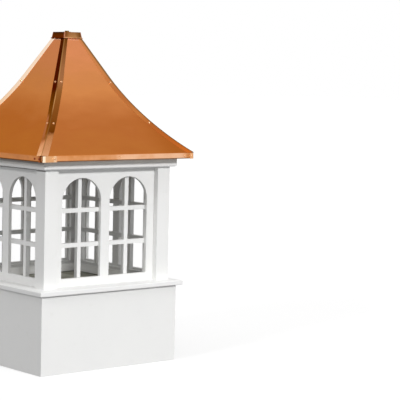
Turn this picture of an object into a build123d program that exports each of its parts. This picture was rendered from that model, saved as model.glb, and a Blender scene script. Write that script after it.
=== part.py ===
"""Barn cupola: a square lantern with arched windows, on a box base under a flared copper roof.

Millimetres, +Z up. The origin is the middle of the footprint at the lowest edge of the base.
The front faces -Y. Each of the four sides is the same set of pieces, turned about the Z axis.
"""
from build123d import *
import math
import os

# Base box and the deck inside it
base_width = 914.0            # outside, over the boards
base_height = 428.5           # up to the underside of the sill
base_board = 19.0             # thickness of a base board
cleat_size = 38.0             # square cleat in each inner corner
cleat_lift = 20.0             # cleats stop short of the lower edge
deck_thickness = 19.0
deck_drop = 4.5               # deck surface below the sill's underside

# Sill
sill_projection = 27.5        # nose beyond the base
sill_thickness = 28.5         # where the posts stand
sill_fall = 3.5               # the top weathers down to the nose by this much
sill_nose_round = 4.0

# Corner posts
post_inset = 33.0             # post face behind the base face
post_size = 85.0
post_round = 2.5
post_height = 639.5

# Window panels, set back between the posts
panel_setback = 33.0          # panel face behind the post face
panel_thickness = 20.0
stile_width = 50.0            # panel left at each side of the windows
mullion_width = 58.0          # and between them
foot_rail = 44.5              # and below them
head_rail = 52.0              # and over the crown of their arches

# Grille behind each panel: bars in a frame that runs from post to post
grille_depth = 26.0
grille_reveal = 11.0          # frame kept back from the edges of the windows
bar_width = 24.0
pane_rows = 3
pane_columns = 2

# Clear sheet behind each grille, and the bead along its foot
glass_thickness = 3.0
bead_width = 8.0
bead_height = 18.0
bead_joint = 1.0              # left at the ends of the side beads, which fit between the others

# Crown boards over the posts
crown_projection = 27.5       # beyond the post face
crown_height = 49.5
crown_chamfer = 5.0

# Roof
eave_overhang = 65.0          # outer face of the eave trim beyond the crown
roof_board_thickness = 19.0   # flat board that closes the roof below
eave_trim_height = 34.0
eave_trim_drop = 4.5          # trim hangs below the flat board
eave_trim_return = 9.0        # turned in along the lower edge
sheet = 1.5                   # folded copper
roof_rise = 625.0             # from the trim's top edge to the cap's lower edge
straight_slope = 232.0        # length of the straight slope below the cap
flare_turn = 22.8             # degrees that the hollow curve turns from there to the eave
roof_panel_thickness = 12.0
hip_strip_top = 17.0          # half the plan width of a hip strip at the cap
hip_strip_middle = 26.0       # at the shoulder below the cap
hip_strip_foot = 31.0         # and at the eave
hip_strip_shoulder = 175.0    # plan distance from the cap's corner to the shoulder

# Cap and spindle socket on the peak
cap_width = 124.0             # over the skirt at its foot, without the lip
cap_top_width = 112.0
cap_height = 38.0
cap_lip = 4.5                 # the lower edge flares out by this much
cap_lip_height = 9.0
cap_clearance = 0.5           # left between the cap's skirt and the hip strips
socket_bore = 16.0
socket_diameter = 24.0
socket_flange = 44.0
socket_flange_thickness = 2.0
socket_rise = 8.0             # above the cap
socket_length = 40.0
socket_clearance = 0.3

# Places that follow from the sizes
base_half = base_width / 2
base_inner = base_half - base_board
deck_top = base_height - deck_drop
sill_half = base_half + sill_projection
sill_top = base_height + sill_thickness
post_half = base_half - post_inset
post_inner = post_half - post_size
post_top = sill_top + post_height
panel_face = post_half - panel_setback
panel_back = panel_face - panel_thickness
grille_back = panel_back - grille_depth
glass_back = grille_back - glass_thickness
bead_back = glass_back - bead_width
window_bottom = sill_top + foot_rail
window_height = post_height - foot_rail - head_rail
window_width = post_inner - stile_width - mullion_width / 2
window_middle = (window_width + mullion_width) / 2
window_level = window_bottom + window_height / 2
window_spring = window_bottom + window_height - window_width / 2
crown_half = post_half + crown_projection
crown_top = post_top + crown_height
eave_half = crown_half + eave_overhang
trim_inner = eave_half - sheet
roof_board_top = crown_top + roof_board_thickness
trim_bottom = crown_top - eave_trim_drop
trim_top = trim_bottom + eave_trim_height
cap_level = trim_top + roof_rise
cap_top = cap_level + cap_height
side_names = ["front", "right", "back", "left"]
corner_names = ["front_left", "front_right", "back_right", "back_left"]
reach = 2 * eave_half         # longer than any half side
roof_run_on = eave_overhang   # sections of the roof run on this far before they are trimmed

# Sections are drawn outwards (local x) and upwards (local y), then run along the front side
section_plane = Plane(origin=(0, 0, 0), x_dir=(0, -1, 0), z_dir=(-1, 0, 0))

os.makedirs("parts", exist_ok=True)


def save(name, shape):
    """Write one named piece."""
    export_step(shape, f"parts/{name}.step")


def save_sides(name, shape):
    """Write a front piece and its three turned copies."""
    for quarter, side in enumerate(side_names):
        save(f"{name}_{side}", Rot(0, 0, 90 * quarter) * shape)


def save_corners(name, shape):
    """Write a front left corner piece and its three turned copies."""
    for quarter, corner in enumerate(corner_names):
        save(f"{name}_{corner}", Rot(0, 0, 90 * quarter) * shape)


def rectangle(inner, outer, low, high):
    """A section face between two distances from the axis and two levels."""
    corners = [(inner, low), (outer, low), (outer, high), (inner, high)]
    return make_face(Polyline(*corners, close=True).edges())


def section_face(points):
    """A section face through its corner points."""
    return make_face(Polyline(*points, close=True).edges())


def run(face, half_length=reach):
    """A section run along the front side, the same both ways from its middle."""
    return extrude(section_plane * face, amount=half_length, both=True)


def front_wedge():
    """The quarter of the plan that belongs to the front side, between two mitres."""
    plan = make_face(Polyline((0, 0), (-reach, -reach), (reach, -reach), close=True).edges())
    return extrude(plan, amount=2 * cap_top)


def mitred(face):
    """A section run along the front side and mitred at both corners."""
    return run(face) & front_wedge()


def base_boards():
    """Four boards of the base, mitred at the corners."""
    save_sides("base", mitred(rectangle(base_inner, base_half, 0, base_height)))


def corner_cleats():
    """Square cleats in the inner corners, which the boards are fixed to."""
    length = deck_top - deck_thickness - cleat_lift
    middle = base_inner - cleat_size / 2
    cleats = [
        Pos(x, y, cleat_lift + length / 2) * Box(cleat_size, cleat_size, length)
        for x in (-middle, middle)
        for y in (-middle, middle)
    ]
    save("corner_cleats", Compound(cleats))


def deck_board():
    """Floor of the lantern, let into the base and carried by the cleats."""
    side = 2 * base_inner
    board = Box(side, side, deck_thickness)
    save("deck_board", Pos(0, 0, deck_top - deck_thickness / 2) * board)


def sill_boards():
    """Projecting boards over the base, flat under the posts and weathered beyond them."""
    face = section_face([
        (bead_back, base_height),
        (sill_half, base_height),
        (sill_half, sill_top - sill_fall),
        (post_half, sill_top),
        (bead_back, sill_top),
    ])
    nose = [v for v in face.vertices() if abs(v.X - sill_half) < 0.01]
    face = fillet(nose, sill_nose_round)
    save_sides("sill", mitred(face))


def corner_posts():
    """Square posts on the sill."""
    middle = -(post_half - post_size / 2)
    post = Pos(middle, middle, sill_top + post_height / 2) * Box(post_size, post_size, post_height)
    save_corners("post", fillet(post.edges().filter_by(Axis.Z), post_round))


def window_outline():
    """A window: straight sides and a half round head."""
    half = window_width / 2
    outline = [
        Line((-half, window_bottom), (half, window_bottom)),
        Line((half, window_bottom), (half, window_spring)),
        ThreePointArc((half, window_spring), (0, window_spring + half), (-half, window_spring)),
        Line((-half, window_spring), (-half, window_bottom)),
    ]
    return make_face(outline)


def board_between_posts():
    """Outline that fills the space between two posts, from the sill to the crown."""
    return Pos(0, (sill_top + post_top) / 2) * Rectangle(2 * post_inner, post_height)


def facing_front(distance):
    """A plane at a distance from the axis, looking out of the front, with its y upwards."""
    return Plane(origin=(0, -distance, 0), x_dir=(1, 0, 0), z_dir=(0, -1, 0))


def window_panels():
    """One panel a side: stiles, rails and mullion in one board, with two arched windows."""
    outline = board_between_posts()
    for middle in (-window_middle, window_middle):
        outline -= Pos(middle, 0) * window_outline()
    save_sides("window", extrude(facing_front(panel_back) * outline, amount=panel_thickness))


def window_grilles():
    """A grille behind each panel, whose bars divide both windows into even panes."""
    clear_width = 2 * (window_middle + window_width / 2 + grille_reveal)
    clear_height = window_height + 2 * grille_reveal
    outline = board_between_posts() - Pos(0, window_level) * Rectangle(clear_width, clear_height)
    pane_height = (window_height - (pane_rows - 1) * bar_width) / pane_rows
    for row in range(1, pane_rows):
        level = window_bottom + row * (pane_height + bar_width) - bar_width / 2
        outline += Pos(0, level) * Rectangle(clear_width, bar_width)
    pane_width = (window_width - (pane_columns - 1) * bar_width) / pane_columns
    for middle in (-window_middle, window_middle):
        for column in range(1, pane_columns):
            across = column * (pane_width + bar_width) - (window_width + bar_width) / 2
            outline += Pos(middle + across, window_level) * Rectangle(bar_width, clear_height)
    grille = extrude(facing_front(grille_back) * outline, amount=grille_depth)
    save("window_grilles", Compound([Rot(0, 0, 90 * quarter) * grille for quarter in range(4)]))


def glass_sheets():
    """A clear sheet behind each grille."""
    face = rectangle(glass_back, grille_back, sill_top, post_top)
    save_sides("glass", run(face, post_inner))


def glass_beads():
    """A bead along the foot of each sheet."""
    face = rectangle(bead_back, glass_back, sill_top, sill_top + bead_height)
    beads = []
    for quarter in range(4):
        half_length = post_inner if quarter % 2 == 0 else bead_back - bead_joint
        beads.append(Rot(0, 0, 90 * quarter) * run(face, half_length))
    save("glass_beads", Compound(beads))


def crown_boards():
    """Boards over the posts, chamfered below their face."""
    face = section_face([
        (bead_back, post_top),
        (crown_half - crown_chamfer, post_top),
        (crown_half, post_top + crown_chamfer),
        (crown_half, crown_top),
        (bead_back, crown_top),
    ])
    save_sides("crown", mitred(face))


def roof_board():
    """Flat board that the roof stands on, and that closes it from below."""
    side = 2 * trim_inner
    board = Box(side, side, roof_board_thickness)
    save("roof_board", Pos(0, 0, crown_top + roof_board_thickness / 2) * board)


def roof_curve():
    """Radius and centre of the roof's hollow curve, and its slopes at the cap and at the eave.

    The surface starts at the top outer edge of the eave trim, and leaves its arc as a straight
    slope that passes inside the lower edge of the cap's skirt, with room for the hip strips.
    """
    half_turn = math.radians(flare_turn) / 2
    run_in = eave_half - (cap_width / 2 - 2 * sheet - cap_clearance)
    whole = math.hypot(run_in, roof_rise)
    chord = math.sqrt(whole**2 - (straight_slope * math.sin(half_turn))**2)
    chord -= straight_slope * math.cos(half_turn)
    radius = chord / (2 * math.sin(half_turn))
    steepness = math.atan2(roof_rise, run_in) + math.asin(chord * math.sin(half_turn) / whole)
    pitch = steepness - 2 * half_turn
    centre = (eave_half + radius * math.sin(pitch), trim_top + radius * math.cos(pitch))
    return radius, centre, steepness, pitch


def roof_band(inner, outer):
    """Section between two offsets from the roof's surface, run on past both its ends."""
    radius, centre, steepness, pitch = roof_curve()
    foot = pitch - roof_run_on / radius

    def on_arc(offset, slope):
        """A point on an arc about the curve's centre, by the slope of the surface there."""
        away = radius - offset
        return (centre[0] - away * math.sin(slope), centre[1] - away * math.cos(slope))

    def side(offset):
        """Foot, middle and head of an arc, and the head of the straight slope."""
        head = on_arc(offset, steepness)
        length = (cap_top + roof_run_on - head[1]) / math.sin(steepness)
        end = (head[0] - length * math.cos(steepness), head[1] + length * math.sin(steepness))
        return on_arc(offset, foot), on_arc(offset, (foot + steepness) / 2), head, end

    foot_in, mid_in, head_in, end_in = side(inner)
    foot_out, mid_out, head_out, end_out = side(outer)
    return make_face([
        ThreePointArc(foot_in, mid_in, head_in),
        Line(head_in, end_in),
        Line(end_in, end_out),
        Line(end_out, head_out),
        ThreePointArc(head_out, mid_out, foot_out),
        Line(foot_out, foot_in),
    ])


def roof_panels():
    """Hollow-curved sides of the roof, mitred to each other along the hips."""
    limits = rectangle(0, trim_inner, roof_board_top, cap_top - sheet)
    save_sides("roof", mitred(roof_band(-roof_panel_thickness, 0) & limits))


def hip_strips():
    """Folded strips that cover the hips, narrow at the cap and wider towards the eave."""
    limits = rectangle(0, eave_half, trim_top - sheet, cap_top - sheet)
    front = mitred(roof_band(0, sheet) & limits)
    left = Rot(0, 0, -90) * front
    along = Vector(-1, -1) / math.sqrt(2)
    across = Vector(1, -1) / math.sqrt(2)
    cap_corner = cap_width / math.sqrt(2)
    stations = [
        (0, hip_strip_top),
        (cap_corner, hip_strip_top),
        (cap_corner + hip_strip_shoulder, hip_strip_middle),
        (eave_half * math.sqrt(2), hip_strip_foot),
        (reach * math.sqrt(2), hip_strip_foot),
    ]
    one_edge = [along * distance + across * half for distance, half in stations]
    other_edge = [along * distance - across * half for distance, half in reversed(stations)]
    corners = [(corner.X, corner.Y) for corner in one_edge + other_edge]
    plan = make_face(Polyline(*corners, close=True).edges())
    strip = extrude(plan, amount=2 * cap_top)
    save_corners("hip", (front + left) & strip)


def eave_trims():
    """Folded copper along the eave: a face and a narrow return under it."""
    face = section_face([
        (eave_half - eave_trim_return, trim_bottom),
        (eave_half, trim_bottom),
        (eave_half, trim_top),
        (trim_inner, trim_top),
        (trim_inner, trim_bottom + sheet),
        (eave_half - eave_trim_return, trim_bottom + sheet),
    ])
    save_sides("eave_trim", mitred(face))


def frustum(low_half, high_half, low, high):
    """A square block with leaning sides."""
    below = Plane.XY.offset(low) * Rectangle(2 * low_half, 2 * low_half)
    above = Plane.XY.offset(high) * Rectangle(2 * high_half, 2 * high_half)
    return loft([below, above])


def roof_cap():
    """Folded cap over the peak, open below with a flared lip, and with a hole for the socket."""
    lean = (cap_width - cap_top_width) / 2 / cap_height
    low = cap_width / 2
    lip_foot = low + cap_lip
    lip_head = low - lean * cap_lip_height
    lip_top = cap_level + cap_lip_height
    outside = frustum(low, cap_top_width / 2, cap_level, cap_top)
    outside += frustum(lip_foot, lip_head, cap_level, lip_top)
    inner_high = low - sheet - lean * (cap_height - sheet)
    inside = frustum(low - sheet, inner_high, cap_level, cap_top - sheet)
    inside += frustum(lip_foot - sheet, lip_head - sheet, cap_level, lip_top)
    hole = Pos(0, 0, cap_top) * Cylinder(socket_diameter / 2 + socket_clearance, cap_height)
    save("roof_cap", outside - inside - hole)


def spindle_socket():
    """Flanged tube through the cap, for the foot of a finial or a weathervane."""
    top = cap_top + socket_rise
    tube = Pos(0, 0, top - socket_length / 2) * Cylinder(socket_diameter / 2, socket_length)
    seat = cap_top + socket_flange_thickness / 2
    flange = Pos(0, 0, seat) * Cylinder(socket_flange / 2, socket_flange_thickness)
    bore = Pos(0, 0, top - socket_length / 2) * Cylinder(socket_bore / 2, 2 * socket_length)
    save("spindle_socket", tube + flange - bore)


base_boards()
corner_cleats()
deck_board()
sill_boards()
corner_posts()
window_panels()
window_grilles()
glass_sheets()
glass_beads()
crown_boards()
roof_board()
roof_panels()
hip_strips()
eave_trims()
roof_cap()
spindle_socket()
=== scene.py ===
import math
import bmesh
import bpy
from mathutils import Matrix, Vector
from mathutils.bvhtree import BVHTree


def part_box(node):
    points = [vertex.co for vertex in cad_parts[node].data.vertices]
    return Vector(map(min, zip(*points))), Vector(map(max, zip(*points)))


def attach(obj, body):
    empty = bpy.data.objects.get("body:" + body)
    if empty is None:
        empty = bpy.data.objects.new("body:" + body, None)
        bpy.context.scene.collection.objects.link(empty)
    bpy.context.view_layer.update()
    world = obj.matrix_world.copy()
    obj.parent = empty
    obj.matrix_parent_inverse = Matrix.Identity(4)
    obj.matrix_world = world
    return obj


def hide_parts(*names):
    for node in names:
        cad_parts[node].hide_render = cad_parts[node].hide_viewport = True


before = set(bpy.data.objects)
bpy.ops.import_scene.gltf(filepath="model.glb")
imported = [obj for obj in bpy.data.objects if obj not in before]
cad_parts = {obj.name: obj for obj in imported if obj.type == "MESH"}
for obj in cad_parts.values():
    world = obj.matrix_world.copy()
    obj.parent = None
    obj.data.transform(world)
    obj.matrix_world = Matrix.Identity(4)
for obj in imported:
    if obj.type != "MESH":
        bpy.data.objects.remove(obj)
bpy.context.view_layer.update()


# Box base
# Four cellular PVC boards, mitred and cemented at the corners, smooth and white as they come
# from the mill, with the arrises taken off and a faint haze left by wiping.
class Wire:
    """What one socket of a node gives out. Sums on it add Math nodes."""

    def __init__(self, shading, socket):
        self.shading = shading
        self.socket = socket

    def sum(self, operation, *terms):
        """What a Math node makes of the terms."""
        return self.shading.node("ShaderNodeMath", dict(enumerate(terms)), operation=operation)

    def __add__(self, other):
        return self.sum("ADD", self, other)

    def __sub__(self, other):
        return self.sum("SUBTRACT", self, other)

    def __rsub__(self, other):
        return self.sum("SUBTRACT", other, self)

    def __mul__(self, other):
        return self.sum("MULTIPLY", self, other)

    def __abs__(self):
        return self.sum("ABSOLUTE", self)

    def sine(self):
        return self.sum("SINE", self)

    def or_more(self, other):
        """The larger of two values."""
        return self.sum("MAXIMUM", self, other)

    __radd__ = __add__
    __rmul__ = __mul__


class Shading:
    """A shader's node tree, whose nodes all come from one method."""

    def __init__(self, tree):
        self.tree = tree

    def node(self, kind, sockets=None, out=0, stops=(), **settings):
        """Add a node: its settings and stops first, then a value or a wire for each socket."""
        made = self.tree.nodes.new(kind)
        for setting, value in settings.items():
            setattr(made, setting, value)
        if stops:
            ramp = made.color_ramp.elements
            ramp[0].position, ramp[0].color = stops[0]
            ramp[1].position, ramp[1].color = stops[-1]
            for position, colour in stops[1:-1]:
                ramp.new(position).color = colour
        for socket, value in (sockets or {}).items():
            self.feed(made.inputs[socket], value)
        return Wire(self, made.outputs[out])

    def feed(self, socket, value):
        """Join a wire to a socket, or set its own value, which for a colour is a screen code."""
        if isinstance(value, Wire):
            self.tree.links.new(value.socket, socket)
        else:
            socket.default_value = paint(value) if isinstance(value, str) else value


class Finish(Shading):
    """A material with one Principled shader."""

    def __init__(self, name, **steady):
        self.material = bpy.data.materials.new(name)
        self.material.use_nodes = True
        super().__init__(self.material.node_tree)
        self.shader = self.tree.nodes["Principled BSDF"]
        self.skin = Wire(self, self.shader.outputs["BSDF"])
        self.position = self.node("ShaderNodeTexCoord", out="Object")
        for socket, value in steady.items():
            self.shader.inputs[socket.replace("_", " ")].default_value = value

    def axis(self, name):
        """One of the three object coordinates, in metres."""
        return self.node("ShaderNodeSeparateXYZ", {"Vector": self.position}, out=name)

    def cloud(self, size, stretch=(1, 1, 1), detail=2.0, shift=(0, 0, 0)):
        """Soft noise about 0.5, with blots of a size in metres, stretched along the axes."""
        scale = tuple(1 / (size * s) for s in stretch)
        moved = self.node("ShaderNodeMapping", {"Vector": self.position, "Location": shift, "Scale": scale})
        return self.node("ShaderNodeTexNoise", {"Vector": moved, "Scale": 1.0, "Detail": detail})

    def fade(self, value, low, high):
        """0 below the low value and 1 above the high one, with a soft step between."""
        span = {"Value": value, "From Min": low, "From Max": high}
        return self.node("ShaderNodeMapRange", span, interpolation_type="SMOOTHSTEP")

    def mix(self, share, first, second):
        """Blend two colours."""
        return self.node("ShaderNodeMix", {0: share, 6: first, 7: second}, out=2, data_type="RGBA")

    def relief(self, *layers):
        """Bumps on the surface, each a height from 0 to 1 and its depth in metres."""
        normal = None
        for height, depth in layers:
            sockets = {"Height": height, "Distance": depth}
            if normal:
                sockets["Normal"] = normal
            normal = self.node("ShaderNodeBump", sockets)
        self.feed(self.shader.inputs["Normal"], normal)

    def coat(self, colour, roughness):
        """Feed what varies over the surface."""
        self.feed(self.shader.inputs["Base Color"], colour)
        self.feed(self.shader.inputs["Roughness"], roughness)


def paint(code):
    """A linear colour from its hexadecimal screen code."""
    parts = [int(code[i:i + 2], 16) / 255 for i in (0, 2, 4)]
    linear = [c / 12.92 if c <= 0.04045 else ((c + 0.055) / 1.055) ** 2.4 for c in parts]
    return (*linear, 1.0)


sides = ["front", "right", "back", "left"]
board_arris = 0.0009
weld_gap, speck = 0.00001, 0.00002
flat_turn, smooth_turn, arris_turn = math.radians(0.5), math.radians(20), math.radians(25)


def copied(node):
    """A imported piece's mesh as whole faces, for a piece that stands in its place."""
    shape = bmesh.new()
    shape.from_mesh(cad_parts[node].data)
    bmesh.ops.remove_doubles(shape, verts=shape.verts, dist=weld_gap)
    bmesh.ops.dissolve_limit(shape, angle_limit=flat_turn, verts=shape.verts, edges=shape.edges)
    return shape


def arrises(shape):
    """The edges where two faces meet at a clear angle."""
    return [edge for edge in shape.edges if edge.calc_face_angle(0) > arris_turn]


def ease(shape, edges, width, steps=2):
    """Round edges off by a width in metres."""
    bmesh.ops.bevel(
        shape, geom=edges, offset=width, offset_type="OFFSET", segments=steps,
        profile=0.5, affect="EDGES", clamp_overlap=True, material=-1,
    )


def place(name, shape, finish, slot, *nodes):
    """Make a piece of a shape, in its finish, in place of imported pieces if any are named."""
    bmesh.ops.dissolve_degenerate(shape, dist=speck, edges=shape.edges)
    mesh = bpy.data.meshes.new(name)
    shape.to_mesh(mesh)
    shape.free()
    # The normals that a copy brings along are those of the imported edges, not of the eased ones.
    packed_normals = mesh.attributes.get("custom_normal")
    if packed_normals:
        mesh.attributes.remove(packed_normals)
    mesh.shade_smooth()
    mesh.set_sharp_from_angle(angle=smooth_turn)
    mesh.materials.append(finish.material)
    piece = bpy.data.objects.new(name, mesh)
    bpy.context.scene.collection.objects.link(piece)
    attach(piece, "root")
    if nodes:
        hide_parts(*nodes)


def dress(node, name, finish, slot, arris):
    """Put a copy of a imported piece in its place, with its arrises eased, in its finish."""
    shape = copied(node)
    ease(shape, arrises(shape), arris)
    place(name, shape, finish, slot, node)


def white_board(name, tint):
    """Smooth cellular PVC, with a faint mottle, a drag of the plane and a satin skin."""
    finish = Finish(name)
    mottle = finish.cloud(0.22, detail=3.0)
    haze = finish.cloud(0.05, detail=4.0, shift=(0.3, 0.1, 0.7))
    pale = finish.mix(mottle, tint, "F2F2F0")
    finish.coat(finish.mix(finish.fade(haze, 0.58, 0.8) * 0.35, pale, "E6E6E2"), 0.36 + 0.16 * haze)
    drag = finish.cloud(0.004, stretch=(1, 1, 14))
    finish.relief((mottle, 0.0006), (drag, 0.00004))
    return finish


board_white = white_board("base white", "EDEDEC")
for side in sides:
    dress(f"base_{side}", f"base_board_{side}", board_white, "white_board", board_arris)


# Corner cleats
# Planed softwood squares, glued and nailed into the inner corners of the base, out of sight
# from outside, so they keep their bare wood.
cleat_arris = 0.0015


def softwood(name):
    """Planed pine with its grain running up the cleat."""
    finish = Finish(name)
    wave = finish.cloud(0.05, stretch=(1, 1, 12), detail=3.0)
    grain = finish.fade((40 * wave).sine(), -0.8, 1.0)
    fibre = finish.cloud(0.002, stretch=(1, 1, 40))
    colour = finish.mix(grain, "D9B88A", "B98D57")
    finish.coat(finish.mix(0.3 * fibre, colour, "9C7446"), 0.55 + 0.2 * fibre)
    finish.relief((grain, 0.0002), (fibre, 0.00015))
    return finish


dress("corner_cleats", "cleats", softwood("planed softwood"), "framing_wood", cleat_arris)


# Deck board
# The lantern's floor, a plywood sheet let into the base on the cleats. Its face is stained
# grey, and shows through the windows.
sheet_arris = 0.0008


def plywood(name, light, dark):
    """Rotary-cut veneer: broad wandering figure and fine open pores."""
    finish = Finish(name)
    drift = finish.cloud(0.3, stretch=(1, 3, 1), detail=3.0)
    grain = finish.fade((34 * drift).sine(), -0.9, 1.0)
    pore = finish.cloud(0.003, stretch=(1, 12, 1))
    colour = finish.mix(grain, light, dark)
    finish.coat(finish.mix(0.35 * pore, colour, dark), 0.6 + 0.2 * pore)
    finish.relief((grain, 0.0002), (pore, 0.0002))
    return finish


deck_stain = plywood("stained plywood", "B2B1A2", "838272")
dress("deck_board", "lantern_floor", deck_stain, "sheathing", sheet_arris)


# Sill
# White boards over the base, weathered outside the posts and rounded at the nose, mitred at
# the corners and bedded in a bead of caulk.
sill_white = white_board("sill white", "F0F0F0")
for side in sides:
    dress(f"sill_{side}", f"sill_board_{side}", sill_white, "white_board", board_arris)


# Corner posts
# Square white posts with rounded arrises, which stand on the sill and carry the crown. Shade
# below the crown is painted on them, in a thin dark line on the sides that face X.
corners = ["front_left", "front_right", "back_right", "back_left"]
corner_blend = 0.004
crown_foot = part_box("crown_front")[0][2]


def past_corner(finish):
    """How far a point is past the plane through two corners: above 0 on sides that face X."""
    return abs(finish.axis("X")) - abs(finish.axis("Y"))


def facing_x(finish):
    """1 on the sides that face X and 0 on the others, blended at the corners."""
    return finish.fade(past_corner(finish), -corner_blend, corner_blend)


def paint_shade_or_light(finish, share, colour):
    """Blend one more colour over the one that a finish has, for painted shade, light and reflections."""
    base = finish.shader.inputs["Base Color"]
    clean = Wire(finish, base.links[0].from_socket)
    finish.feed(base, finish.mix(share, clean, colour))


def under_crown_shade(finish):
    """Paint a thin line of shade under the crown, soft at both its edges."""
    height = finish.axis("Z")
    above = finish.fade(height, crown_foot - 0.013, crown_foot - 0.010)
    below = 1 - finish.fade(height, crown_foot - 0.005, crown_foot - 0.002)
    # Painted shade: a thin dark line just under the crown, on the sides that face X.
    paint_shade_or_light(finish, 0.8 * facing_x(finish) * (above * below), "4E4A46")


post_white = white_board("post white", "EEEEED")
under_crown_shade(post_white)
for corner in corners:
    post = copied(f"post_{corner}")
    place(f"corner_post_{corner}", post, post_white, "white_board", f"post_{corner}")


# Window panels
# Each side is one routed PVC sheet with two arched windows, let in between the posts. The
# router leaves the arrises of the arches just broken.
window_white = white_board("window white", "EDEDEC")
# The window panels get the same painted shade line under the crown.
under_crown_shade(window_white)
for side in sides:
    dress(f"window_{side}", f"window_panel_{side}", window_white, "white_board", board_arris)


# Grilles
# Behind each panel stands a frame of white PVC bars: an upright behind the middle of each
# window, and two rails that run on behind the mullion.
dress("window_grilles", "bar_grilles", window_white, "white_board", board_arris)


# Clear sheets
# Acrylic laid against the back of each grille, clean and almost without colour, with polished
# faces that catch a little of the sky at a slant.
sheet_shade = 0.35


def show(finish, share, first, second):
    """Let a material show a blend of two shaders."""
    both = finish.node("ShaderNodeMixShader", {0: share, 1: first, 2: second})
    finish.feed(finish.tree.nodes["Material Output"].inputs["Surface"], both)


def clear_sheet(name):
    """See-through sheet whose faces reflect by their angle, and hold back some lamp light."""
    finish = Finish(name, Roughness=0.03, IOR=1.49)
    wipe = finish.cloud(0.12, stretch=(1, 1, 2), detail=3.0)
    finish.coat(finish.mix(wipe, "F4F8F6", "FFFFFF"), 0.02 + 0.05 * wipe)
    through = finish.node("ShaderNodeBsdfTransparent", {"Color": "FFFFFF"})
    slant = finish.node("ShaderNodeFresnel", {"IOR": 1.3})
    inner_face = finish.node("ShaderNodeNewGeometry", out="Backfacing")
    lamp_ray = finish.node("ShaderNodeLightPath", out="Is Shadow Ray")
    share = (slant * (1 - inner_face)).or_more(sheet_shade * lamp_ray)
    show(finish, share, through, finish.skin)
    return finish


clear = clear_sheet("clear acrylic")
for side in sides:
    place(f"clear_sheet_{side}", copied(f"glass_{side}"), clear, "clear_sheet", f"glass_{side}")


# Beads
# White strips pinned along the foot of each clear sheet, inside the lantern, of the same PVC
# as the base.
dress("glass_beads", "sheet_beads", board_white, "white_board", board_arris)


# Crown boards
# White boards on edge over the posts, chamfered below, mitred at the corners. The eave
# shades their upper half, where more shade and a warm glow off the copper are painted.
crown_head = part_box("crown_front")[1][2]


def paint_eave_shade_and_glow(finish):
    """Paint shade on the top of the boards that face X, darkest just under the trim, and a warm glow off
    the copper on the top of all four.
    """
    height = finish.axis("Z")
    gable = facing_x(finish)
    # Painted shade under the eave, on the boards that face X.
    gable_shade = gable * finish.fade(height, crown_head - 0.024, crown_head - 0.016)
    paint_shade_or_light(finish, 0.7 * gable_shade, "4E4038")
    # A painted warm glow of light off the copper, on the top of all four boards.
    under = finish.fade(height, crown_head - 0.012, crown_head)
    paint_shade_or_light(finish, (0.5 - 0.3 * gable) * under, "D8A888")
    # A darker painted shadow just under the trim, on the boards that face X.
    eave_shadow_line = gable * finish.fade(height, crown_head - 0.013, crown_head - 0.009)
    paint_shade_or_light(finish, 0.75 * eave_shadow_line, "3A1C06")


# The crown's white is painted a little brighter than the other boards', as painted light.
crown_white_lit = white_board("crown white", "FFFFFF")
paint_eave_shade_and_glow(crown_white_lit)
for side in sides:
    dress(f"crown_{side}", f"crown_board_{side}", crown_white_lit, "white_board", board_arris)


# Roof board
# The plywood sheet that the roof is built on. Only the edge of its underside shows, from
# below the eave.
bare_plywood = plywood("eave plywood", "C9B48F", "A98D62")
dress("roof_board", "roof_underside", bare_plywood, "sheathing", sheet_arris)


# Copper roof sides
# Lacquered copper sheet over curved plywood. The sheet is mirror-flat nowhere: it dishes a
# little between its fixings and keeps long draw marks from the mill.
copper_edge = (0.62, 0.46, 0.36, 1.0)
tone_foot, tone_head = 1.17, 1.80
cap_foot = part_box("roof_cap")[0][2]
hip_ease = 0.006
hip_slack = 0.0001


def tones(finish, level, stops):
    """Colours along a level from 0 to 1, given as pairs of a place and a screen code."""
    painted = [(position, paint(code)) for position, code in stops]
    return finish.node("ShaderNodeValToRGB", {"Fac": level}, stops=painted)


def copper(name):
    """A metal that stays copper-coloured at a slant, still without its tones."""
    return Finish(name, Metallic=1.0, Specular_Tint=copper_edge)


def sheet_copper(name):
    """Bright lacquered copper with painted reflection, lighter towards the peak and deeper towards the
    eave, painted shade low towards +X and a painted light band under the cap.
    """
    finish = copper(name)
    height = finish.fade(finish.axis("Z"), tone_foot, tone_head)
    blot = finish.cloud(0.28, stretch=(1, 1, 0.6), detail=2.0)
    small = finish.cloud(0.07, stretch=(2, 2, 0.5), detail=3.0, shift=(0.4, 0.2, 0.9))
    # Painted reflection: lighter towards the peak and deeper towards the eave, with random blots.
    level = height + 0.42 * (blot - 0.5) + 0.16 * (small - 0.5)
    tone = tones(finish, level, (
        (0.00, "BC7238"), (0.16, "B86C36"), (0.34, "C07640"),
        (0.55, "CA824A"), (0.72, "C6804C"), (1.00, "CC8256"),
    ))
    finish.coat(tone, 0.34 + 0.12 * small)
    # Painted shade on the low part of the roof towards +X.
    right_foot_shade = finish.fade(finish.axis("X"), 0.2, 0.42) * (1 - finish.fade(height, 0.2, 0.5))
    paint_shade_or_light(finish, 0.6 * right_foot_shade, "A85A22")
    # Painted light: a pale band just under the cap, against the shade of its lip.
    by_cap_light = finish.fade(finish.axis("Z"), cap_foot - 0.0105, cap_foot - 0.0035)
    paint_shade_or_light(finish, 0.9 * by_cap_light, "F4B890")
    draw = finish.cloud(0.003, stretch=(1, 1, 60), detail=1.0)
    finish.relief((blot, 0.003), (small, 0.0004), (draw, 0.000005))
    return finish


def on_hip(vert):
    """Whether a vertex lies in the upright plane through a hip."""
    return abs(abs(vert.co.x) - abs(vert.co.y)) < hip_slack


def hip_edges(shape, shortest=0.0):
    """The edges along a hip that aren't shorter than a length."""
    along = [edge for edge in shape.edges if all(on_hip(vert) for vert in edge.verts)]
    return [edge for edge in along if edge.calc_length() >= shortest]


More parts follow.
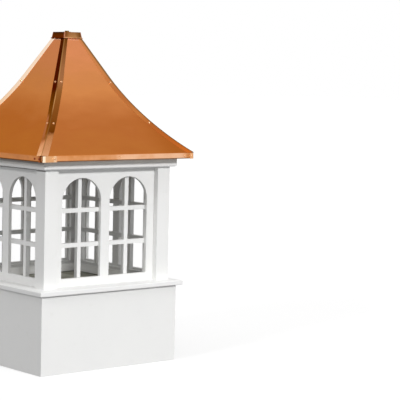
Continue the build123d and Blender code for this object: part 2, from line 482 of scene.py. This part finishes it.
roof_copper = sheet_copper("roof copper")
for side in sides:
    roof = copied(f"roof_{side}")
    ease(roof, hip_edges(roof), hip_ease, steps=1)
    place(f"roof_sheet_{side}", roof, roof_copper, "copper_sheet", f"roof_{side}")


# Hip strips
# Strips of polished copper folded over the hips and screwed through both flanges. The fold is
# rolled, not sharp, and the dark and pale parts of the room that the bright metal mirrors are
# painted into its colour. The front left strip is wider above its lower screws, on one flange.
ridge_rise, ridge_round = 0.004, 0.0035
shortest_fold = 0.005
near_corner = "front_left"
near_spread = 0.007
spread_low, spread_span = 1.45, 0.05
flange_start = 0.008
fold_shift = 0.003
low_screw, high_screw = 1.340, 1.560
rim_start, rim_full = 0.018, 0.024


def lift_ridge(shape, rise):
    """Pull the fold of a strip clear of the hip, so that both flanges lean up to it."""
    for vert in shape.verts:
        if on_hip(vert):
            outwards = Vector((math.copysign(1, vert.co.x), math.copysign(1, vert.co.y), 1))
            vert.co += rise * outwards.normalized()


def spread_flange(shape, spread):
    """Widen the flange that faces X above the lower screws, along the roof side under it."""
    for vert in shape.verts:
        if abs(vert.co.x) - abs(vert.co.y) > flange_start:
            share = min(1, max(0, (vert.co.z - spread_low) / spread_span))
            vert.co.y -= math.copysign(spread * share, vert.co.y)


def strip_copper(name, x_side, y_side, fold_tones, fold_width):
    """Polished copper, with painted reflections up the strip for its two flanges and for the fold between.
    """
    finish = copper(name)
    height = finish.axis("Z")
    above = finish.fade(height, high_screw - 0.06, high_screw + 0.02)
    off_hip = past_corner(finish) + fold_shift * above
    span = {"Value": height, "From Min": tone_foot, "From Max": tone_head}
    rise = finish.node("ShaderNodeMapRange", span)
    smear = finish.cloud(0.05, stretch=(1, 1, 2), detail=3.0)
    level = rise + 0.10 * (smear - 0.5)
    on_x_side = finish.fade(off_hip, -0.001, 0.001)
    flanges = finish.mix(on_x_side, tones(finish, level, y_side), tones(finish, level, x_side))
    finish.coat(flanges, 0.2 + 0.14 * smear)
    # Painted reflection: a paler band near the outer edge of each flange, around the lower screws.
    below_screw = finish.fade(height, low_screw - 0.09, low_screw - 0.06)
    past_screw = finish.fade(height, low_screw + 0.02, low_screw + 0.06)
    rim = finish.fade(off_hip, rim_start, rim_full)
    paint_shade_or_light(finish, below_screw * (1 - past_screw) * rim, "B4704C")
    # Painted reflection along the fold, in the fold's own tones.
    on_fold = 1 - finish.fade(abs(off_hip), 0.4 * fold_width, fold_width)
    paint_shade_or_light(finish, on_fold, tones(finish, level, fold_tones))
    finish.relief((smear, 0.0006))
    return finish


# Tones of painted reflections up the flanges and folds of the strips.
dark_mirror = (
    (0.00, "FFC898"), (0.07, "E8A87C"), (0.13, "C68056"), (0.19, "905428"), (0.30, "7E4820"),
    (0.38, "764420"), (0.46, "6A3C16"), (0.56, "4C1804"), (0.66, "4C1A04"), (0.76, "481802"),
    (0.88, "461A02"), (1.00, "4E2206"),
)
brown_mirror = (
    (0.00, "E0A478"), (0.165, "BC7C4C"), (0.20, "6C360C"), (0.27, "7C4416"), (0.42, "8A5020"),
    (0.54, "905A2A"), (0.62, "A26A42"), (0.74, "9C663E"), (1.00, "6C3C10"),
)
fold_light = (
    (0.00, "C08A58"), (0.20, "8A5A2C"), (0.34, "7E5024"), (0.40, "B88450"), (0.50, "C89058"),
    (0.58, "7A4A22"), (0.66, "B88450"), (1.00, "8C6034"),
)
panel_mirror = (
    (0.00, "D0702E"), (0.10, "C0662C"), (0.25, "B4642E"), (0.34, "C47A40"), (0.48, "B86C38"),
    (0.70, "C47C46"), (1.00, "C8804E"),
)
cream_mirror = ((0.00, "E2A070"), (0.30, "F6CFA6"), (0.60, "FBDFC4"), (1.00, "FAE0C8"))
even_mirror = ((0.00, "C88450"), (0.40, "BC7440"), (0.70, "B87444"), (1.00, "A8703C"))
fold_dark = ((0.00, "7A5A34"), (1.00, "8C6438"))
strip_tones = {
    "front_left": (dark_mirror, brown_mirror, fold_light, 0.005),
    "front_right": (even_mirror, panel_mirror, fold_dark, 0.014),
    "back_right": (even_mirror, brown_mirror, fold_light, 0.005),
    "back_left": (cream_mirror, even_mirror, cream_mirror, 0.005),
}
strip_trees = {}
for corner in corners:
    strip = copied(f"hip_{corner}")
    lift_ridge(strip, ridge_rise)
    if corner == near_corner:
        spread_flange(strip, near_spread)
    ease(strip, hip_edges(strip, shortest_fold), ridge_round, steps=3)
    strip_trees[corner] = BVHTree.FromBMesh(strip)
    finish = strip_copper(f"strip copper {corner}", *strip_tones[corner])
    place(f"hip_strip_{corner}", strip, finish, "copper_strip", f"hip_{corner}")


# Hip screws
# Copper-plated screws with hexagon heads and round washers, one through each flange of a strip
# at two heights.
washer_radius, washer_thickness, washer_taper = 0.0064, 0.0012, 0.9
head_radius, head_height, head_taper = 0.0045, 0.0036, 0.96
head_round = 0.0009
screw_offset = 0.0165
eave_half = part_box("eave_trim_front")[1][0]
far_out = 1.0


def washer_screw():
    """A hexagon head on a round washer, which stands on the origin."""
    screw = bmesh.new()
    bmesh.ops.create_cone(
        screw, cap_ends=True, segments=24, radius1=washer_radius, radius2=washer_radius * washer_taper,
        depth=washer_thickness, matrix=Matrix.Translation((0, 0, washer_thickness / 2)),
    )
    head_middle = washer_thickness + head_height / 2
    head = bmesh.ops.create_cone(
        screw, cap_ends=True, segments=6, radius1=head_radius, radius2=head_radius * head_taper,
        depth=head_height, matrix=Matrix.Translation((0, 0, head_middle)),
    )
    top = [vert for vert in head["verts"] if vert.co.z > head_middle]
    rim = [edge for edge in screw.edges if all(vert in top for vert in edge.verts)]
    ease(screw, rim, head_round)
    mesh = bpy.data.meshes.new("washer screw")
    screw.to_mesh(mesh)
    screw.free()
    return mesh


def screw_copper(name):
    """Bright plating with a random mottle, and a painted dark red reflection on the heads on the left trim.
    """
    finish = copper(name)
    wear = finish.cloud(0.004, detail=3.0)
    finish.coat(finish.mix(wear, "D8A278", "EAC49C"), 0.22 + 0.16 * wear)
    # Painted reflection: the heads on the left trim are painted dark red.
    left_trim_reflection = 1 - finish.fade(finish.axis("X"), 0.0005 - eave_half, 0.0065 - eave_half)
    paint_shade_or_light(finish, 0.9 * left_trim_reflection, "8A3A20")
    finish.relief((wear, 0.0001))
    return finish


screw_mesh = washer_screw()
screw_finish = screw_copper("screw copper")


def drive(name, seats):
    """Join a copy of the screw for each seat, a point and the way out of the metal there."""
    screws = bmesh.new()
    for point, out in seats:
        driven = len(screws.verts)
        screws.from_mesh(screw_mesh)
        screws.verts.ensure_lookup_table()
        turn = out.to_track_quat("Z", "Y").to_matrix().to_4x4()
        bmesh.ops.transform(screws, matrix=Matrix.Translation(point) @ turn, verts=screws.verts[driven:])
    place(name, screws, screw_finish, "copper_strip")


hip_seats = []
for corner in corners:
    low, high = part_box(f"hip_{corner}")
    outwards = Vector((low[0] + high[0], low[1] + high[1], 0)).normalized()
    across = outwards.cross(Vector((0, 0, 1)))
    for level in (low_screw, high_screw):
        for hand in (-screw_offset, screw_offset):
            start = far_out * outwards + hand * across + Vector((0, 0, level))
            hip_seats.append(strip_trees[corner].ray_cast(start, -outwards)[:2])
drive("hip_screws", hip_seats)


# Eave trims
# Copper folded in a channel along the eave, drawn up tight below the roof board and screwed to
# its edge. It takes the full light, and more is painted into its colour, so it is the brightest metal on
# the roof.
trim_lip, trim_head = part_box("eave_trim_front")[0][2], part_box("eave_trim_front")[1][2]
drawn_up = 0.003
trim_foot = trim_lip + drawn_up
fold_ease = 0.00048


def draw_up(shape, lip, rise):
    """Raise the lower rim of a folded sheet."""
    for vert in shape.verts:
        if vert.co.z < lip + rise:
            vert.co.z += rise


def trim_copper(name):
    """Bright copper strip, uneven along its length where the fold has pulled it, with painted reflection
    bands along it, painted shade towards its left and a painted shadow line at its foot.
    """
    finish = copper(name)
    pull = finish.cloud(0.16, stretch=(1, 1, 0.5), detail=2.0)
    small = finish.cloud(0.03, detail=3.0, shift=(0.2, 0.5, 0.1))
    along = finish.axis("X")
    # Painted reflection: lighter and darker bands along the trim.
    reflection_bands = 0.16 * finish.fade(along, -0.09, 0.02) - 0.17 * finish.fade(along, 0.42, 0.49)
    # Painted shade towards the left end and on the left trim.
    left_shade = 0.07 * (1 - finish.fade(along, -0.51, -0.46))
    level = 0.44 + reflection_bands - left_shade + 0.26 * (pull - 0.5) + 0.16 * (small - 0.5)
    tone = tones(finish, level, (
        (0.24, "AE6E48"), (0.34, "BA7A4E"), (0.43, "CC8852"),
        (0.52, "DC9E70"), (0.60, "E8B48E"), (0.80, "F2C6A2"),
    ))
    finish.coat(tone, 0.26 + 0.14 * small)
    # Painted shadow: a dark line along the foot of the trim.
    foot = 1 - finish.fade(finish.axis("Z"), trim_foot + 0.003, trim_foot + 0.006)
    paint_shade_or_light(finish, 0.9 * foot, "5A3214")
    finish.relief((pull, 0.002), (small, 0.0004))
    return finish


eave_copper = trim_copper("eave copper")
for side in sides:
    trim = copied(f"eave_trim_{side}")
    draw_up(trim, trim_lip, drawn_up)
    ease(trim, arrises(trim), fold_ease)
    place(f"eave_strip_{side}", trim, eave_copper, "copper_sheet", f"eave_trim_{side}")


# Corner laps
# At its right-hand end each trim runs on round the corner and laps the next one, a hand's
# width along. The thin sheet is dressed by hand, so it is creased and stands a little proud.
lap_back, lap_on, lap_hang = 0.024, 0.100, 0.0015
lap_length, lap_height = lap_back + lap_on, trim_head - trim_foot + lap_hang
lap_columns, lap_rows = 62, 12
lap_radius = 0.005
lap_gap = 0.0003
lap_thickness = 0.0009
lap_screw = 0.088
bulge_height, bulge_place, bulge_width = 0.0014, 0.020, 0.020
ripple_height, ripple_pace, ripple_start = 0.0016, 95, 0.030
crease_depth, crease_width, crease_lean = 0.0012, 0.006, 1.3
crease_place, crease_level = 0.048, 0.008
dimple_depth, dimple_width = 0.0012, 0.010


def folded_round(along, out):
    """Plan point of a sheet bent round the front left corner, by its length from the fold."""
    half_arc = lap_radius * math.pi / 4
    inner = eave_half + lap_gap - lap_radius
    if along > half_arc:
        return -inner + along - half_arc, -inner - lap_radius - out
    if along < -half_arc:
        return -inner - lap_radius - out, -inner - along - half_arc
    turn = math.radians(225 + 45 * along / half_arc)
    reach = lap_radius + out
    return -inner + reach * math.cos(turn), -inner + reach * math.sin(turn)


def hump(distance, width):
    """A smooth hump, 1 in its middle."""
    return math.exp(-((distance / width) ** 2))


def lap_swell(along, rise):
    """How far the lap stands off the trim, with a slanting crease and a dimple at its screw."""
    crease = (along - crease_place) - crease_lean * (rise - crease_level)
    ripple = (0.5 + 0.5 * math.sin(along * ripple_pace)) * min(1, max(0, along / ripple_start))
    swell = bulge_height * hump(along - bulge_place, bulge_width) + ripple_height * ripple
    swell -= crease_depth * hump(crease, crease_width)
    swell -= dimple_depth * hump(along - lap_screw, dimple_width)
    return max(0, swell)


def lap_copper(name):
    """The trim's copper, with a painted dark reflection where it turns a left-hand corner and a painted
    highlight just past the fold.
    """
    finish = copper(name)
    along = finish.node("ShaderNodeAttribute", out="Fac", attribute_name="from_end")
    small = finish.cloud(0.02, detail=3.0)
    level = along + 0.03 * (small - 0.5)
    # These tones hold a painted highlight just past the fold.
    on = tones(finish, level, (
        (0.24, "E0A878"), (0.26, "FFE6C8"), (0.37, "FFE0C0"), (0.41, "DCA878"),
        (0.78, "D89E6C"), (0.88, "F0C8A0"), (1.00, "DCA070"),
    ))
    # Painted dark reflection where a lap turns a left-hand corner.
    back = tones(finish, level, ((0.00, "A05A34"), (0.09, "96502C"), (0.12, "5E3214"), (0.24, "6A3A1A")))
    left_hand = 1 - finish.fade(finish.axis("X"), -0.1, 0.1)
    turned = left_hand * (1 - finish.fade(level, 0.235, 0.255))
    finish.coat(finish.mix(turned, on, back), 0.2 + 0.16 * small)
    finish.relief((small, 0.0004))
    return finish


lap = bmesh.new()
bmesh.ops.create_grid(lap, x_segments=lap_columns, y_segments=lap_rows, size=0.5)
from_end = lap.verts.layers.float.new("from_end")
for vert in lap.verts:
    vert[from_end] = vert.co.x + 0.5
    along = -lap_back + (vert.co.x + 0.5) * lap_length
    rise = (vert.co.y + 0.5) * lap_height
    x, y = folded_round(along, lap_swell(along, rise))
    vert.co = (x, y, trim_foot - lap_hang + rise)
lap.normal_update()
bmesh.ops.solidify(lap, geom=lap.faces[:], thickness=lap_thickness)
lap_mesh = bpy.data.meshes.new("corner lap")
lap.to_mesh(lap_mesh)
lap.free()
quarter_turns = [Matrix.Rotation(math.radians(90 * quarter), 3, "Z") for quarter in range(4)]
laps = bmesh.new()
for turn in quarter_turns:
    first = len(laps.verts)
    laps.from_mesh(lap_mesh)
    laps.verts.ensure_lookup_table()
    bmesh.ops.rotate(laps, cent=(0, 0, 0), matrix=turn, verts=laps.verts[first:])
bmesh.ops.recalc_face_normals(laps, faces=laps.faces)
lap_tree = BVHTree.FromBMesh(laps)
place("corner_laps", laps, lap_copper("lap copper"), "copper_sheet")


# Trim screws
# The same screws hold the trims to the edge of the roof board: one in each lap, one at
# mid-length and two at the far end.
plain_screws = (0.0, eave_half - 0.061, eave_half - 0.020)
trim_middle = (trim_foot + trim_head) / 2
inwards = Vector((0, 1, 0))
trim_seats = []
for turn in quarter_turns:
    start = Vector((-eave_half + lap_screw, -far_out, trim_middle))
    trim_seats.append(lap_tree.ray_cast(turn @ start, turn @ inwards)[:2])
    for along in plain_screws:
        seat = Vector((along, -eave_half, trim_middle))
        trim_seats.append((turn @ seat, turn @ -inwards))
drive("trim_screws", trim_seats)


# Cap
# A shallow folded box over the peak, its corners tucked like a parcel's, in the same polished
# copper as the strips. Its lip is dressed up a little off the roof.
lip_lift = 0.003


def cap_copper(name):
    """Polished copper with painted reflections: dark on the two sides that face X, pale on the others,
    darker towards the top, with a painted highlight on the lip and a painted glint at the corner folds.
    """
    finish = copper(name)
    smear = finish.cloud(0.04, detail=3.0)
    # Painted reflections: dark on the sides that face X, with pale tones across the others.
    dark = finish.mix(smear, "3E1C0A", "74300E")
    pale = tones(finish, 8 * finish.axis("X") + 0.5 + 0.3 * (smear - 0.5), (
        (0.00, "A87050"), (0.12, "7E4A20"), (0.30, "A87244"),
        (0.62, "A87648"), (0.82, "784C24"), (1.00, "5A3A16"),
    ))
    # Painted reflection, darker towards the top of the cap.
    upper = finish.fade(finish.axis("Z"), cap_foot + 0.014, cap_foot + 0.034)
    dark = finish.mix(0.7 * upper, dark, "3A2408")
    pale = finish.mix(0.35 * upper, pale, "6E4424")
    # A painted highlight along the lip.
    lip = 1 - finish.fade(finish.axis("Z"), cap_foot + 0.006, cap_foot + 0.012)
    pale = finish.mix(0.9 * lip, pale, "DCA474")
    off_corner = past_corner(finish)
    finish.coat(finish.mix(finish.fade(off_corner, -0.002, 0.002), pale, dark), 0.2 + 0.12 * smear)
    # A painted pinkish reflection at each corner fold.
    corner_glint = 1 - finish.fade(abs(off_corner), 0.002, 0.007)
    paint_shade_or_light(finish, 0.7 * corner_glint, "C08468")
    finish.relief((smear, 0.0008))
    return finish


cap = copied("roof_cap")
draw_up(cap, cap_foot, lip_lift)
ease(cap, arrises(cap), fold_ease)
place("peak_cap", cap, cap_copper("cap copper"), "copper_strip", "roof_cap")


# Spindle socket
# A turned brass tube with a flange, soldered into the cap for a finial or a weathervane. It
# has dulled in the weather.
def turned_brass(name):
    """Dull brass with fine rings from the lathe."""
    finish = Finish(name, Metallic=1.0)
    tarnish = finish.cloud(0.012, detail=3.0)
    rings = finish.cloud(0.0006, stretch=(60, 60, 1))
    finish.coat(finish.mix(tarnish, "5E4522", "8A6A3A"), 0.34 + 0.2 * tarnish)
    finish.relief((rings, 0.00005))
    return finish


brass = turned_brass("turned brass")
place("finial_socket", copied("spindle_socket"), brass, "socket_brass", "spindle_socket")


# Floor and light
# A pale studio floor, a soft lamp in front, a weaker one to the left, and the light of a white
# room that is brighter overhead.
floor_reach, floor_glow, floor_glow_share = 60.0, 1.1, 0.5
lamp_climb = 25
horizon_light, overhead_light = 0.31, 0.80


def seen_rays(shading):
    """1 on rays by which the eye sees a thing, also in a mirror or through a sheet, or else 0."""
    rays = [shading.node("ShaderNodeLightPath", out=f"Is {kind} Ray")
            for kind in ("Camera", "Glossy", "Transmission")]
    return rays[0].or_more(rays[1]).or_more(rays[2])


def studio_floor(name):
    """Pale to the lamps and white to the eye, with the shadow kept."""
    finish = Finish(name, Roughness=0.9)
    seen = seen_rays(finish)
    finish.feed(finish.shader.inputs["Base Color"], finish.mix(seen, "7A7A7C", "FFFFFF"))
    glow = finish.node("ShaderNodeEmission", {"Color": "FFFFFF", "Strength": floor_glow})
    show(finish, floor_glow_share * seen, finish.skin, glow)
    return finish


def soft_sun(name, strength, width, turn):
    """A sun at the height of the lamps, with its width and its turn from the front in degrees."""
    light = bpy.data.lights.new(name, "SUN")
    light.energy = strength
    light.angle = math.radians(width)
    lamp = bpy.data.objects.new(name, light)
    lamp.rotation_euler = (math.radians(90 - lamp_climb), 0, math.radians(turn))
    bpy.context.scene.collection.objects.link(lamp)


ground = bmesh.new()
bmesh.ops.create_grid(ground, x_segments=1, y_segments=1, size=floor_reach)
floor_mesh = bpy.data.meshes.new("studio floor")
ground.to_mesh(floor_mesh)
ground.free()
floor_mesh.materials.append(studio_floor("pale floor").material)
floor = bpy.data.objects.new("studio_floor", floor_mesh)
bpy.context.scene.collection.objects.link(floor)

soft_sun("key", strength=1.87, width=8, turn=3)
soft_sun("side", strength=0.64, width=10, turn=-78)

world = bpy.data.worlds.new("white room")
bpy.context.scene.world = world
world.use_nodes = True
room = Shading(world.node_tree)
way = room.node("ShaderNodeTexCoord", out="Generated")
climb = room.node("ShaderNodeSeparateXYZ", {"Vector": way}, out="Z")
light = room.node("ShaderNodeMapRange", {"Value": climb, "To Min": horizon_light, "To Max": overhead_light})
sky = room.tree.nodes["Background"]
room.feed(sky.inputs["Color"], "FFFFFF")
room.feed(sky.inputs["Strength"], room.node("ShaderNodeMix", {0: seen_rays(room), 2: light, 3: 1.0}))


# Camera
# It stands off the front left corner at eye height, a long way back, and is turned a little
# to the right, down and round as the photograph is.
photo_side = 400
centre_row = 152
lens_pixels = 1608.44
azimuth, pan = math.radians(-35.4156), math.radians(4.809)
pitch, roll = math.radians(-3.065), math.radians(1.2202)
camera_distance, camera_height = 9.123, 1.6644
sensor_width = 36
far_sight = 200

camera = bpy.data.cameras.new("camera")
camera.sensor_width = sensor_width
camera.lens = lens_pixels * sensor_width / photo_side
camera.shift_y = (centre_row - photo_side / 2) / photo_side
camera.clip_end = far_sight
eye = bpy.data.objects.new("camera", camera)
turned = Matrix.Rotation(azimuth - pan, 4, "Z")
raised = Matrix.Rotation(math.radians(90) + pitch, 4, "X")
rolled = Matrix.Rotation(roll, 4, "Z")
stand = Vector((math.sin(azimuth) * camera_distance, -math.cos(azimuth) * camera_distance, camera_height))
eye.matrix_world = Matrix.Translation(stand) @ turned @ raised @ rolled
bpy.context.scene.collection.objects.link(eye)
bpy.context.scene.camera = eye
bpy.context.scene.view_settings.view_transform = "Standard"
